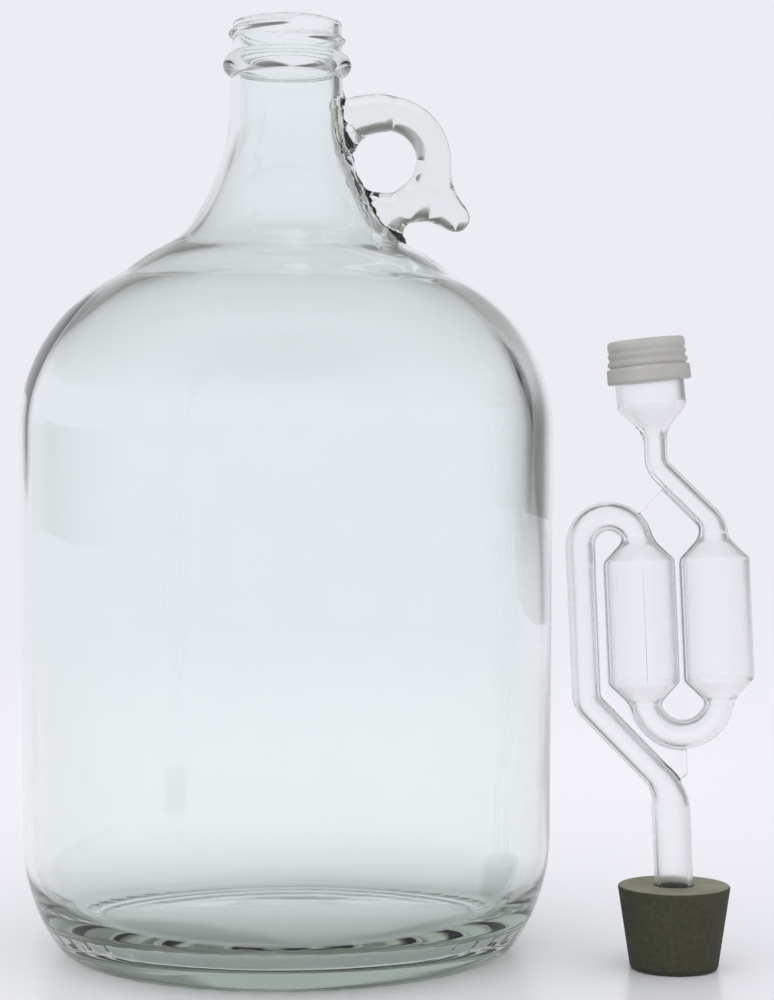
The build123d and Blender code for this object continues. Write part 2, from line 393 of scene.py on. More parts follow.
def dome(rise, reach, foot, step):
    """A shallow dome from the axis, at height foot plus rise, out to the reach at height foot."""
    radius = (reach ** 2 + rise ** 2) / (2 * rise)
    out = line((0, 0), (reach, 0), step)[:, 0]
    return np.stack([out, foot + rise - radius + np.sqrt(radius ** 2 - out ** 2)], axis=1)


def shoulder_and_neck(wall, neck, step):
    """The jug's outline from the foot of its shoulder to the foot of its neck."""
    centre = (body_radius - shoulder_round, shoulder_foot)
    bow = arc(centre, shoulder_round - wall, 0, shoulder_sweep, step)
    low = bow[-1]
    points = [low]
    for across, up in flare_shares:
        points.append((neck + across * (low[0] - neck), neck_foot - up * (neck_foot - low[1])))
    points.append((neck, neck_foot))
    way = (-math.sin(shoulder_sweep), math.cos(shoulder_sweep))
    flare = spline(points, way, (neck_top_radius - neck_radius, neck_top - neck_foot), step)
    return joined(bow, flare)


body_step = 2.2
flare_step = 1.3
finish_step = 0.3
bearing_step = 0.5
neck_step = 0.8


def jug_outside():
    """The outer outline, from the middle of the base to the top of the rim."""
    heel_width = heel_radius - bearing_radius
    heel = [(bearing_radius + a * heel_width, b * heel_height) for a, b in heel_shares]
    rim = jug_height - rim_round
    flat_start = bearing_radius - bearing_width
    return joined(
        dome(push_up, flat_start, 0, body_step),
        line((flat_start, 0), (bearing_radius, 0), bearing_step),
        spline([(bearing_radius, 0), *heel, (heel_radius, heel_height)], (1, 0), (0, 1), flare_step),
        line((heel_radius, heel_height), (body_radius, shoulder_foot), body_step),
        shoulder_and_neck(0, neck_radius, flare_step),
        line((neck_radius, neck_foot), (neck_top_radius, neck_top), neck_step),
        arc_through(
            (neck_top_radius, neck_top),
            (bead_radius, neck_top + bead_height / 2),
            (finish_radius, neck_top + bead_height),
            finish_step,
        ),
        line((finish_radius, neck_top + bead_height), (finish_radius, rim), finish_step),
        arc((finish_radius - rim_round, rim), rim_round, 0, math.pi / 2, finish_step),
    )


def jug_inside():
    """The inner outline, from the top of the rim down to the middle of the floor."""
    wall_radius = heel_radius - body_wall
    floor = push_up + base_thickness - floor_rise
    heel = [
        (floor_radius + a * (wall_radius - floor_radius), floor + b * (heel_height - floor))
        for a, b in inner_heel_shares
    ]
    rim = jug_height - rim_round
    return joined(
        arc((mouth_bore + rim_round, rim), rim_round, math.pi / 2, math.pi, finish_step),
        line((mouth_bore, rim), (mouth_bore, neck_foot), flare_step),
        shoulder_and_neck(body_wall, mouth_bore, flare_step)[::-1],
        line((body_radius - body_wall, shoulder_foot), (wall_radius, heel_height), body_step),
        spline([(wall_radius, heel_height), *heel, (floor_radius, floor)], (0, -1), (-1, 0), flare_step),
        dome(floor_rise, floor_radius, floor, body_step)[::-1],
    )


def smooth_step(x):
    x = np.clip(x, 0, 1)
    return x * x * (3 - 2 * x)


def ripple(angle, height, seed, waves, around, up):
    """A gentle unevenness of blown glass, between about -1 and 1, as a sum of slow waves."""
    draw = np.random.default_rng(seed)
    total = np.zeros_like(angle)
    for _ in range(waves):
        turns = draw.integers(*around)
        rise = draw.uniform(*up)
        phase = draw.uniform(0, 2 * math.pi)
        lean = draw.uniform(-1, 1)
        total += np.cos(turns * angle + height / rise * lean + phase) * draw.uniform(0.5, 1)
    return total / math.sqrt(waves)


def build_jug():
    outside, inside = jug_outside(), jug_inside()
    split = len(outside) - 1
    thread_foot = jug_height - thread_start_drop

    def warp(turn, radius, height, row):
        outer = row < split
        # Screw thread: the ridge climbs with the angle, and fades at both ends
        ridge = np.zeros_like(radius)
        for lap in range(-1, 3):
            along = (turn - thread_start) / (2 * math.pi) + lap
            offset = (height - thread_foot - thread_pitch * along) / thread_half_width
            fade = smooth_step(along / thread_end_laps)
            fade *= smooth_step((thread_turns - along) / thread_end_laps)
            bump = np.cos(np.clip(offset, -1, 1) * math.pi / 2) ** 2
            ridge = np.maximum(ridge, bump * fade)
        on_finish = outer & (height > neck_top + bead_height - thread_margin)
        on_finish &= radius > finish_radius - rim_round
        radius = radius + np.where(on_finish, ridge * thread_rise, 0)
        # Knurls of the bearing ring
        from_ring = np.abs(radius - bearing_radius + bearing_width / 2)
        on_ring = outer & (height < knurl_margin) & (from_ring < knurl_reach)
        groove = np.clip(np.cos(turn * knurl_count) * knurl_sharpness - 1.0, 0, 1)
        height = height + np.where(on_ring, groove * knurl_depth, 0)
        # Uneven thickness: the outside stays true, and the inside ripples
        inner_wall = ~outer & (height > ripple_low) & (height < ripple_high)
        depth = smooth_step((height - ripple_low) / ripple_low_fade)
        depth *= smooth_step((ripple_high - height) / ripple_high_fade)
        waves = ripple(turn, height, 5, 9, (2, 11), (30, 90)) * slow_ripple
        waves += ripple(turn, height, 8, 8, (12, 30), (60, 200)) * fine_ripple
        radius = radius + np.where(inner_wall, waves * depth, 0)
        # The shoulder is thicker than the body, and so is the right side down to its middle
        rise = np.clip((height - shoulder_foot) / shoulder_round, 0, math.sin(shoulder_sweep))
        tilt = np.arcsin(rise) * smooth_step((tilt_end - height) / tilt_end_fade)
        in_shoulder = smooth_step((height - shoulder_start) / shoulder_start_fade)
        thick = shoulder_extra * in_shoulder * smooth_step((shoulder_end - height) / shoulder_end_fade)
        off = np.abs((turn + math.pi) % (2 * math.pi) - math.pi)
        side = side_extra * smooth_step((height - side_foot) / side_taper)
        thick += side * smooth_step((side_edge - off) / side_edge_fade) * (1 - in_shoulder)
        thick = np.where(inner_wall, thick, 0)
        return radius - thick * np.cos(tilt), height - thick * np.sin(tilt)

    jug = lathe("jug_body", joined(outside, inside), knurl_count * 8, warp)
    set_points(jug, points_of(jug) + np.array((jug_x, 0, 0)))
    return jug


# Signed distances, negative inside. Points are given by plane coordinates and a distance out of the plane

def blend_union(a, b, width):
    """The smaller distance, with a fillet of about the given width."""
    share = np.clip(0.5 + 0.5 * (b - a) / width, 0, 1)
    return b + (a - b) * share - width * share * (1 - share)


# The width of a blend that leaves the edge sharp
min_blend = 0.05


def blend_both(a, b, width):
    """What both bodies share."""
    return -blend_union(-a, -b, width)


def to_segment(x, y, start, end):
    """Distance to a segment and the share along it."""
    dx, dy = end[0] - start[0], end[1] - start[1]
    share = np.clip(((x - start[0]) * dx + (y - start[1]) * dy) / (dx * dx + dy * dy), 0, 1)
    return np.hypot(x - start[0] - share * dx, y - start[1] - share * dy), share


def to_arc(x, y, centre, radius, start, turn):
    """Distance to an arc and the share along it. turn may be negative."""
    angle = np.arctan2(y - centre[1], x - centre[0])
    middle = start + turn / 2
    off = (angle - middle + math.pi) % (2 * math.pi) - math.pi
    half = abs(turn) / 2
    inside = np.abs(off) <= half
    near = np.abs(np.hypot(x - centre[0], y - centre[1]) - radius)
    ends = []
    for side in (-1, 1):
        at = middle + side * half
        ends.append(np.hypot(x - centre[0] - radius * math.cos(at), y - centre[1] - radius * math.sin(at)))
    distance = np.where(inside, near, np.minimum(*ends))
    share = np.clip(0.5 + np.sign(turn) * np.clip(off, -half, half) / abs(turn), 0, 1)
    return distance, share


def to_polygon(x, y, corners):
    """Signed distance to a closed outline, negative inside."""
    nearest = np.full(np.broadcast(x, y).shape, 1e9)
    inside = np.zeros(nearest.shape, bool)
    for start, end in zip(corners, corners[1:] + corners[:1]):
        nearest = np.minimum(nearest, to_segment(x, y, start, end)[0])
        crosses = (start[1] > y) != (end[1] > y)
        rise = end[1] - start[1] if end[1] != start[1] else 1e-9
        inside ^= crosses & (x < (end[0] - start[0]) * (y - start[1]) / rise + start[0])
    return np.where(inside, -nearest, nearest)


def slope_of(field, points, step=0.02):
    """The field and its gradient at the points."""
    value = field(*points.T)
    slope = np.zeros_like(points)
    for axis in range(3):
        ahead, behind = points.copy(), points.copy()
        ahead[:, axis] += step
        behind[:, axis] -= step
        slope[:, axis] = (field(*ahead.T) - field(*behind.T)) / (2 * step)
    return value, slope


def pull_to_surface(field, points, rounds=4, reach=1.0):
    """Moves the points along the field's gradient until they lie on its surface."""
    for _ in range(rounds):
        value, slope = slope_of(field, points)
        size = np.maximum((slope ** 2).sum(axis=1), 0.25)
        points = points - slope * np.clip(value / size, -reach, reach)[:, None]
    return points


def surface_net(field, low, high, cell):
    """Points and quads of the field's surface, found on a grid."""
    counts = [int(math.ceil((b - a) / cell)) + 1 for a, b in zip(low, high)]
    axes = [a + np.arange(count) * cell for a, count in zip(low, counts)]
    grid = field(axes[0][:, None, None], axes[1][None, :, None], axes[2][None, None, :])
    grid = np.ascontiguousarray(np.broadcast_to(grid, counts)).astype(np.float32)
    inside = grid < 0
    cells = [count - 1 for count in counts]
    total = np.zeros(cells, np.int8)
    corners = list(itertools.product((0, 1), repeat=3))
    for i, j, k in corners:
        total += inside[i:i + cells[0], j:j + cells[1], k:k + cells[2]]
    crossed = np.argwhere((total > 0) & (total < 8))
    number = np.full(cells, -1, np.int32)
    number[tuple(crossed.T)] = np.arange(len(crossed))
    place_sum = np.zeros((len(crossed), 3))
    hits = np.zeros(len(crossed))
    for first, second in itertools.combinations(np.array(corners), 2):
        if np.abs(first - second).sum() != 1:
            continue
        at_first, at_second = (grid[tuple((crossed + end).T)] for end in (first, second))
        changes = (at_first < 0) != (at_second < 0)
        share = np.where(changes, at_first / np.where(changes, at_first - at_second, 1), 0)
        place_sum += np.where(changes[:, None], first + share[:, None] * (second - first), 0)
        hits += changes
    points = (crossed + place_sum / hits[:, None]) * cell + np.array(low)
    quads = []
    for axis in range(3):
        units = np.eye(3, dtype=int)
        ahead = units[axis]
        sides = [k for k in range(3) if k != axis]
        left, down = units[sides]
        here = inside[tuple(slice(0, counts[k] - ahead[k]) for k in range(3))]
        changes = np.argwhere(here != inside[tuple(slice(ahead[k], counts[k]) for k in range(3))])
        changes = changes[np.all([(changes[:, k] > 0) & (changes[:, k] < cells[k]) for k in sides], axis=0)]
        around = [changes - left - down, changes - down, changes, changes - left]
        quad = np.stack([number[tuple(cell_at.T)] for cell_at in around], axis=1)
        outward = here[tuple(changes.T)] != (axis == 1)
        quads.append(np.where(outward[:, None], quad, quad[:, ::-1]))
    return points, np.concatenate(quads)


# Jug: finger loop, joined to the neck with fillets

def to_capsule(reach, y, z, start, end, first, last):
    """Distance to a round bar in the plane of the loop, and its radius runs from first to last."""
    planar, share = to_segment(reach, z, start, end)
    return np.hypot(planar, y) - (first + share * (last - first))


def handle_field(x, y, z):
    """The ring with its arm, its thumb spur and its root, in the row frame."""
    reach = x - jug_x
    ring = np.hypot(np.hypot(reach - loop_reach, z - loop_height) - loop_ring, y) - loop_section
    top = loop_height + loop_ring
    arm_start = (neck_radius - arm_inset, top - arm_drop)
    arm = to_capsule(reach, y, z, arm_start, (loop_reach, top), loop_section, loop_section)
    # The arm runs into the ring at its top without a swelling
    blend = handle_blend * smooth_step((loop_reach + arm_blend_end - reach) / arm_blend_fade)
    body = blend_union(ring, arm, min_blend + blend)
    for out, down in ([share * loop_ring for share in outer_root_shares], inner_root):
        start = (loop_reach + out, loop_height - down)
        spur_root = loop_section * spur_root_share
        spur = to_capsule(reach, y, z, start, (spur_reach, spur_height), spur_root, spur_tip_radius)
        body = blend_union(body, spur, handle_blend)
    foot = (loop_reach - 1.0, loop_height - loop_ring)
    root = to_capsule(reach, y, z, foot, (root_reach, root_height), root_radius, root_radius)
    return blend_union(body, root, handle_blend)


def seam(to_jug, to_handle, z):
    """A narrow wandering groove where the loop was pressed on to the neck."""
    sway = sum(size * np.sin(z * turn + start) for size, turn, start in seam_waves)
    off = to_handle - to_jug - seam_sway * sway
    depth = seam_depth * (0.65 + 0.35 * np.sin(z * 0.8 + 2.0))
    return depth * np.exp(-(off ** 2 + np.minimum(to_jug, to_handle) ** 2) / seam_width ** 2)


outer_line = jug_outside()


def jug_field(x, y, z):
    """Distance from the jug's outer outline, negative inside the glass and the cavity."""
    upper = outer_line[outer_line[:, 1] > jug_field_low][::2]
    corners = [(0.0, jug_field_low)] + [tuple(row) for row in upper] + [(0.0, jug_height)]
    return to_polygon(np.hypot(x - jug_x, y), z, corners)


def unite(thing, other):
    """Makes one solid of both, in the first object, and deletes the second."""
    modifier = thing.modifiers.new("union", "BOOLEAN")
    modifier.operation = "UNION"
    modifier.object = other
    modifier.solver = "EXACT"
    graph = bpy.context.evaluated_depsgraph_get()
    old = thing.data
    result = bpy.data.meshes.new_from_object(thing.evaluated_get(graph))
    thing.modifiers.clear()
    thing.data = result
    bpy.data.meshes.remove(old)
    bpy.data.objects.remove(other)


def add_handle(jug):
    wall_middle = (neck_radius + mouth_bore) / 2 + handle_sink

    def cut_field(x, y, z):
        inner = np.hypot(x - jug_x, y)
        flare = jug_field(x, y, z) + (neck_radius - wall_middle)
        return blend_both(handle_field(x, y, z), -np.minimum(flare, inner - wall_middle), min_blend)

    low = (jug_x + crease_start, -loop_section - 1.5, root_height - root_radius - 1.5)
    high = (jug_x + spur_reach + 6, loop_section + 1.5, loop_height + loop_ring + loop_section + 2)
    points, quads = surface_net(cut_field, low, high, handle_cell)
    points = pull_to_surface(cut_field, points)
    unite(jug, make_mesh("handle", points, [quads]))
    # The crease becomes a fillet: points near it move out to the blended surface
    points = points_of(jug)
    near = (points[:, 0] > jug_x + crease_start) & (np.abs(points[:, 1]) < crease_half_depth)
    near &= (points[:, 2] > crease_low) & (points[:, 2] < crease_high)
    chosen = np.flatnonzero(near)
    to_jug = jug_field(*points[chosen].T)
    to_handle = handle_field(*points[chosen].T)
    reach = seam_blend + seam_sway + seam_width * 2
    keep = (to_jug > -crease_in_jug) & (to_handle > -crease_in_handle)
    chosen = chosen[keep & (to_jug < reach) & (to_handle < reach)]

    def blended(x, y, z):
        a, b = jug_field(x, y, z), handle_field(x, y, z)
        return blend_union(a, b, seam_blend) + seam(a, b, z)

    points[chosen] = pull_to_surface(blended, points[chosen])
    set_points(jug, points)
    smooth_chosen(jug, chosen, 6)
    points = points_of(jug)
    points[chosen] = pull_to_surface(blended, points[chosen])
    set_points(jug, points)
    shade_smooth(jug.data)


def smooth_chosen(thing, chosen, rounds):
    """Evens out the spacing of the chosen points among their neighbours."""
    edges = np.zeros(len(thing.data.edges) * 2, np.int32)
    thing.data.edges.foreach_get("vertices", edges)
    edges = edges.reshape(-1, 2)
    points = points_of(thing)
    mask = np.zeros(len(points), bool)
    mask[chosen] = True
    for _ in range(rounds):
        total = np.zeros_like(points)
        count = np.zeros(len(points))
        for a, b in ((0, 1), (1, 0)):
            np.add.at(total, edges[:, a], points[edges[:, b]])
            np.add.at(count, edges[:, a], 1)
        average = total / np.maximum(count, 1)[:, None]
        points[mask] += (average[mask] - points[mask]) * 0.5
    set_points(thing, points)


# Airlock, cap and bung. Places are in the airlock's middle plane, out from the stem and up from the bung

cap_step = 0.8
bung_step = 0.9
edge_step = 0.2
grid_margins = (1.5, 1.2, 1.3)
lean_cos, lean_sin = math.cos(airlock_lean), math.sin(airlock_lean)


def from_airlock(reach, out, height):
    """Row frame points from airlock coordinates. out is towards the back."""
    return np.stack([
        bung_x + reach * lean_cos - height * lean_sin,
        bung_y + out,
        bung_height + reach * lean_sin + height * lean_cos,
    ], axis=-1)


def bent_path(corners, bends, radii):
    """Straight runs and tangent arcs as (kind, place, radius at start, radius at end)."""
    corners = [np.array(corner, float) for corner in corners]
    ways = [(b - a) / np.linalg.norm(b - a) for a, b in zip(corners, corners[1:])]
    runs, start = [], corners[0]
    for k, bend in enumerate(bends):
        corner, before, after = corners[k + 1], ways[k], ways[k + 1]
        turn = math.atan2(before[0] * after[1] - before[1] * after[0], before @ after)
        cut = bend * math.tan(abs(turn) / 2)
        end = corner - before * cut
        runs.append(("line", (start, end), radii[k], radii[k]))
        if bend == 0:
            start = corner
            continue
        side = np.array([-before[1], before[0]]) * math.copysign(1, turn)
        centre = end + side * bend
        first = math.atan2(end[1] - centre[1], end[0] - centre[0])
        runs.append(("arc", (centre, bend, first, turn), radii[k], radii[k + 1]))
        start = corner + after * cut
    runs.append(("line", (start, corners[-1]), radii[-1], radii[-1]))
    return runs


def tube_field(runs, inset, at):
    """A round tube along the runs."""
    reach, out, height = at
    body = None
    for kind, place_at, first, last in runs:
        if kind == "line":
            planar, share = to_segment(reach, height, *place_at)
        else:
            planar, share = to_arc(reach, height, *place_at)
        part = np.sqrt(planar ** 2 + out ** 2) - (first + (last - first) * share - inset)
        body = part if body is None else np.minimum(body, part)
    return body


def turned_field(origin, tilt, outline, rounding, at):
    """A body turned about a tilted axis in the middle plane, from (radius, along) corners."""
    reach, out, height = at
    dx, dy = reach - origin[0], height - origin[1]
    along = -dx * math.sin(tilt) + dy * math.cos(tilt)
    across = dx * math.cos(tilt) + dy * math.sin(tilt)
    radial = np.sqrt(across ** 2 + out ** 2)
    mirrored = [(-r, a) for r, a in reversed(outline)]
    return to_polygon(radial, along, outline + mirrored) - rounding


stem_path = bent_path(
    (
        (0, -stem_depth),
        (0, 0),
        (0, stem_bend_height),
        (-down_tube_reach, down_tube_corner),
        (-down_tube_reach, arch_height),
    ),
    (0, stem_bend_radius, side_bend_radius),
    (stem_radius, stem_radius, down_tube_radius, tube_radius),
)
stem_path[0] = ("line", ((0, -stem_depth - 2), (0, 0)), stem_foot_radius, stem_radius)
into_cup = cup_neck_height + cup_cone_height / 2
slant_path = bent_path(
    (
        (right_chamber_reach, chamber_high),
        (right_chamber_reach, top_corner),
        (0, neck_corner),
        (0, cup_base),
        (-into_cup * math.sin(cup_lean), cup_base + into_cup * math.cos(cup_lean)),
    ),
    (top_bend_radius, top_bend_radius, cup_bend_radius),
    (tube_radius, slant_tube_radius, cup_neck_radius, cup_neck_radius),
)


def half_turn(left, right, height, foot, way):
    middle, radius = (left + right) / 2, (right - left) / 2
    return [
        ("line", ((left, foot), (left, height)), tube_radius, tube_radius),
        ("arc", ((middle, height), radius, math.pi, -way * math.pi), tube_radius, tube_radius),
        ("line", ((right, height), (right, foot)), tube_radius, tube_radius),
    ]


arch_path = half_turn(-down_tube_reach, -left_chamber_reach, arch_height, chamber_high, 1)
bend_path = half_turn(-left_chamber_reach, right_chamber_reach, bend_height, chamber_low, -1)
arch_middle = (-down_tube_reach - left_chamber_reach) / 2
arch_round = (down_tube_reach - left_chamber_reach) / 2
bend_round = (right_chamber_reach + left_chamber_reach) / 2
web_outline = [
    (-down_tube_reach, down_tube_corner),
    (-down_tube_reach, arch_height),
    (arch_middle, arch_height + arch_round),
    (-left_chamber_reach, arch_height + tube_radius * 2),
    (right_chamber_reach * web_end_share, neck_corner - web_end_share * (neck_corner - top_corner)),
    (right_chamber_reach, top_corner),
    (right_chamber_reach, bend_height),
    (web_edge_reach, bend_height - bend_round),
    (web_edge_reach, web_edge_height + slant_tube_radius / 2),
    (web_edge_reach / 2, web_edge_height),
    (0, stem_bend_height),
]


def passages(inset, at):
    """The tubes and chambers, drawn in by an inset."""
    body = np.minimum(tube_field(stem_path, inset, at), tube_field(slant_path, inset, at))
    for path in (arch_path, bend_path):
        body = blend_union(body, tube_field(path, inset, at), tube_blend)
    narrow = tube_radius - inset - chamber_round
    wide = chamber_radius - inset - chamber_round
    outline = [
        (narrow, chamber_low - cone_height - 1),
        (wide, chamber_low + chamber_round / 2),
        (wide, chamber_high - chamber_round / 2),
        (narrow, chamber_high + cone_height + 1),
    ]
    blend = chamber_inner_blend if inset else chamber_blend
    for centre in (-left_chamber_reach, right_chamber_reach):
        body = blend_union(body, turned_field((centre, 0), 0, outline, chamber_round, at), blend)
    return body


def cup_outline(inset, low, high):
    narrow = max(cup_neck_radius - inset - cup_round, 0.2)
    wide = cup_radius - inset - cup_round
    return [
        (narrow, low),
        (wide, cup_neck_height + cup_cone_height + cup_round / 3 + inset / 2),
        (wide, high),
    ]


def cup_field(inset, low, high, at):
    return turned_field((0, cup_base), cup_lean, cup_outline(inset, low, high), cup_round, at)


def airlock_field(reach, out, height):
    at = (reach, out, height)
    cup = cup_field(0, cup_neck_height + cup_low, cup_height - cup_round, at)
    solid = blend_union(passages(0, at), cup, cup_blend)
    # The flat web between the tubes has a round rim
    planar = to_polygon(reach, height, web_outline)
    web = blend_both(planar, np.abs(out) - web_thickness / 2, web_edge_blend)
    rim = np.sqrt((planar + web_rim) ** 2 + out ** 2) - web_rim
    solid = blend_union(solid, np.minimum(web, rim), web_blend)
    for aside, up, size in nibs:
        spot = np.sqrt((reach - aside) ** 2 + (height - up) ** 2 + (out + size) ** 2) - size
        solid = blend_union(solid, spot, nib_blend)
    inside = cup_field(airlock_wall, cup_neck_height + cup_inner_low, cup_height + cup_inner_over, at)
    hollow = blend_union(passages(airlock_wall, at), inside, cup_inner_blend)
    # The cup is cut square at its rim, and the stem at its foot
    along = -reach * math.sin(cup_lean) + (height - cup_base) * math.cos(cup_lean)
    for past in (along - cup_height, -stem_depth - height):
        solid = blend_both(solid, past, cut_round)
    return blend_both(solid, -hollow, opening_blend)


def build_airlock():
    side, depth, end = grid_margins
    low = (-down_tube_reach - (tube_radius + side), -chamber_radius - depth, -stem_depth - end)
    high = (right_chamber_reach + chamber_radius + side, chamber_radius + depth, cup_base + cup_height + end)
    points, quads = surface_net(airlock_field, low, high, airlock_cell)
    points = pull_to_surface(airlock_field, points)
    return make_mesh("airlock_shell", from_airlock(*points.T), [quads])


def cap_outline():
    """From the middle of the roof's underside, round the skirt, to the middle of the top."""
    top = cap_low + cap_height
    bore, roof = cup_radius + cap_clearance, cup_height + cap_clearance
    band_top = cap_low + cap_band_height
    low, high = band_top + cap_groove_height, band_top + cap_groove_height + cap_ring_height
    after = high + cap_groove_height
    upper = cap_low + cap_height * cap_upper_share
    groove = cap_radius - cap_groove_depth
    band, ring, soft, draft = cap_band_radius, cap_ring_radius, cap_soft, cap_draft
    return [
        (0, roof), (bore - cut_round, roof), (bore, roof - cut_round), (bore, cap_low + cap_chamfer),
        (bore + cap_chamfer, cap_low), (band - soft, cap_low), (band, cap_low + soft),
        (band - draft, band_top - soft), (band - draft - soft, band_top), (groove, band_top + draft),
        (groove, low - draft), (ring - draft, low), (ring, low + soft), (ring, high - soft),
        (groove, high + draft), (groove, after), (cap_radius, after + cap_chamfer),
        (cap_radius, upper - draft * 4), (groove, upper - draft * 2), (groove, upper + cap_chamfer),
        (cap_radius - draft / 2, upper + cap_chamfer * 2), (cap_radius - draft, top - cap_edge),
        (cap_radius - soft, top - cap_chamfer), (cap_radius - cap_edge, top),
        (cap_radius - cap_roof_inset, top - draft), (0, top - cap_dish),
    ]


def build_cap():
    outline = cap_outline()
    rows = joined(*[line(a, b, cap_step) for a, b in zip(outline, outline[1:])])
    cap = lathe("cap_shell", rows, cap_sides)
    tilt = airlock_lean + cup_lean
    x, y, z = points_of(cap).T
    base = from_airlock(*np.array((0.0, 0.0, cup_base)))
    turned = (x * math.cos(tilt) - z * math.sin(tilt), y, x * math.sin(tilt) + z * math.cos(tilt))
    set_points(cap, base + np.stack(turned, axis=1))
    return cap


def build_bung():
    edge = bung_edge
    slope = (bung_top_radius - bung_foot_radius) / bung_height
    foot_bore, top_bore = stem_foot_radius + stem_clearance, stem_radius + stem_clearance
    stem_foot = bung_height - stem_depth
    foot_side, top_side = bung_foot_radius + slope * edge, bung_top_radius - slope * edge
    rows = joined(
        line((foot_bore, 0), (bung_foot_radius - edge, 0), bung_step),
        arc((bung_foot_radius - edge, edge), edge, -math.pi / 2, 0, edge_step),
        line((foot_side, edge), (top_side, bung_height - edge), bung_step),
        arc((top_side - edge, bung_height - edge), edge, 0, math.pi / 2, edge_step),
        line(
            (bung_top_radius - edge * bung_top_edge_share, bung_height),
            (top_bore + bore_edge, bung_height),
            bung_step,
        ),
        line((top_bore, bung_height - bore_edge), (foot_bore, stem_foot), bung_step),
        line((foot_bore, stem_foot), (foot_bore, 0), bung_step),
    )
    rows = rows[:-1]
    angle = np.arange(bung_sides) * (2 * math.pi / bung_sides)
    radius, height = rows[:, 0:1], rows[:, 1:2]
    # The bore follows the stem's lean, and the outside stands upright
    drilled = smooth_step((bore_zone - radius) / bore_zone_fade)
    shift = -(height - bung_height) * math.tan(airlock_lean) * drilled
    points = np.stack([
        bung_x + radius * np.cos(angle) + shift,
        bung_y + radius * np.sin(angle),
        np.repeat(height, bung_sides, axis=1),
    ], axis=2).reshape(-1, 3)
    return make_mesh("bung_rubber_plug", points, [ring_quads(len(rows), bung_sides, closed=True)])


# Materials

# Colours and roughnesses between which noise spreads a surface
glass_colours = ((0.970, 0.992, 0.984), (0.982, 1.0, 0.994))
glass_roughness = (0.0, 0.02)
glass_index = 1.51
glass_keeps = (0.24, 0.35, 0.20)
glass_density = 8.0
glass_shadow = (0.61, 0.635, 0.595)
plastic_roughness = (0.10, 0.22)
plastic_index = 1.49
plastic_keeps = (0.72, 0.75, 0.80)
plastic_density = 18.0
plastic_shadow = (0.90, 0.90, 0.92)
cap_colours = ((0.66, 0.65, 0.62), (0.74, 0.73, 0.70))
cap_roughness = (0.42, 0.55)
cap_transmission = 0.6
cap_shadow = (0.45, 0.45, 0.45)
rubber_side_colours = ((0.040, 0.040, 0.023), (0.056, 0.055, 0.036))
# Painted light: the bung's top takes much lighter colours than its side, as if lit from above, with noise
# patches across it
rubber_lit_top_colours = ((0.195, 0.19, 0.14), (0.26, 0.255, 0.195))
rubber_lit_top_edge = (0.6, 0.98)
rubber_roughness = (0.62, 0.78)
rubber_specular = 0.3


def feed(tree, node, inputs):
    """Sets a node's inputs. Each is a value, a colour or another node's output."""
    for name, value in inputs.items():
        socket = node.inputs[name]
        if isinstance(value, bpy.types.NodeSocket):
            tree.links.new(value, socket)
        elif socket.type == "RGBA":
            socket.default_value = (*value, 1)
        else:
            socket.default_value = value


def add_node(tree, kind, inputs=None, **settings):
    node = tree.nodes.new("ShaderNode" + kind)
    for name, value in settings.items():
        setattr(node, name, value)
    feed(tree, node, inputs or {})
    return node


def math_node(tree, operation, *values):
    return add_node(tree, "Math", dict(enumerate(values)), operation=operation).outputs["Value"]


def product(tree, first, *others):
    for other in others:
        first = math_node(tree, "MULTIPLY", first, other)
    return first


def mixed(tree, share, first, second):
    """A colour between the first and the second."""
    return add_node(tree, "Mix", {"Factor": share, 6: first, 7: second}, data_type="RGBA").outputs[2]


def mixed_shader(tree, share, first, second):
    return add_node(tree, "MixShader", {"Fac": share, 1: first, 2: second}).outputs["Shader"]


def soft_edge(tree, value, start, end):
    """0 before start and 1 after end, with a smooth change."""
    inputs = {"Value": value, "From Min": start, "From Max": end}
    return add_node(tree, "MapRange", inputs, interpolation_type="SMOOTHSTEP").outputs["Result"]


def spread(tree, source, low, high):
    return add_node(tree, "MapRange", {"Value": source, "To Min": low, "To Max": high}).outputs["Result"]


def ramp(tree, source, low, high, first, last):
    """The source spread between two colours."""
    node = add_node(tree, "ValToRGB", {"Fac": source})
    for element, position, colour in zip(node.color_ramp.elements, (low, high), (first, last)):
        element.position = position
        element.color = (*colour, 1)
    return node.outputs["Color"]


def noise(tree, scale, detail, roughness=0.5, stretch=(1, 1, 1)):
    """A noise over the piece's own coordinates."""
    own = add_node(tree, "TexCoord").outputs["Object"]
    mapped = add_node(tree, "Mapping", {"Vector": own, "Scale": stretch}).outputs["Vector"]
    inputs = {"Vector": mapped, "Scale": scale, "Detail": detail, "Roughness": roughness}
    return add_node(tree, "TexNoise", inputs).outputs["Fac"]


def add_bump(tree, shader, source, height, strength):
    bump = add_node(tree, "Bump", {"Height": source, "Distance": height, "Strength": strength})
    feed(tree, shader, {"Normal": bump.outputs["Normal"]})


def new_material(name):
    material = bpy.data.materials.new(name)
    material.use_nodes = True
    tree = material.node_tree
    tree.nodes.clear()
    shader = add_node(tree, "BsdfPrincipled")
    output = add_node(tree, "OutputMaterial", {"Surface": shader.outputs["BSDF"]})
    return material, tree, shader, output


def light_passes(tree, shader, output, tint):
    """Lets lamp light through a clear piece without the cost of refracted shadows."""
    shadow = add_node(tree, "LightPath").outputs["Is Shadow Ray"]
    clear = add_node(tree, "BsdfTransparent", {"Color": tint}).outputs["BSDF"]
    feed(tree, output, {"Surface": mixed_shader(tree, shadow, shader.outputs["BSDF"], clear)})


def absorb(tree, output, colour, density):
    volume = add_node(tree, "VolumeAbsorption", {"Color": colour, "Density": density})
    feed(tree, output, {"Volume": volume.outputs["Volume"]})


